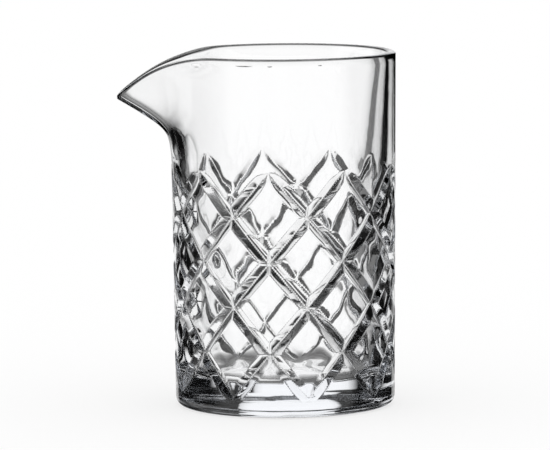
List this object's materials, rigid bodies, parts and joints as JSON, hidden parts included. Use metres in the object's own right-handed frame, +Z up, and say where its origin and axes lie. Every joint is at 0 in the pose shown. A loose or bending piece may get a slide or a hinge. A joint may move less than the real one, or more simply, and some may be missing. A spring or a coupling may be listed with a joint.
{
  "type": "cocktail mixing glass",
  "caption": "Straight-walled clear glass for stirring drinks, with a thick base, a drawn-out pouring spout and a cut pattern of crossing grooves and diamonds.",
  "frame": {"origin": "centre of the flat base, on the axis of the round body", "axes": "+Z up along the body's axis, -X towards the spout, +Y to the far side as seen in the picture"},
  "size_m": [0.1182, 0.0958, 0.15],
  "materials": {
    "glass": "clear and fire-polished"
  },
  "bodies": {
    "root": {"mixing_glass": "glass"}
  },
  "joints": []
}
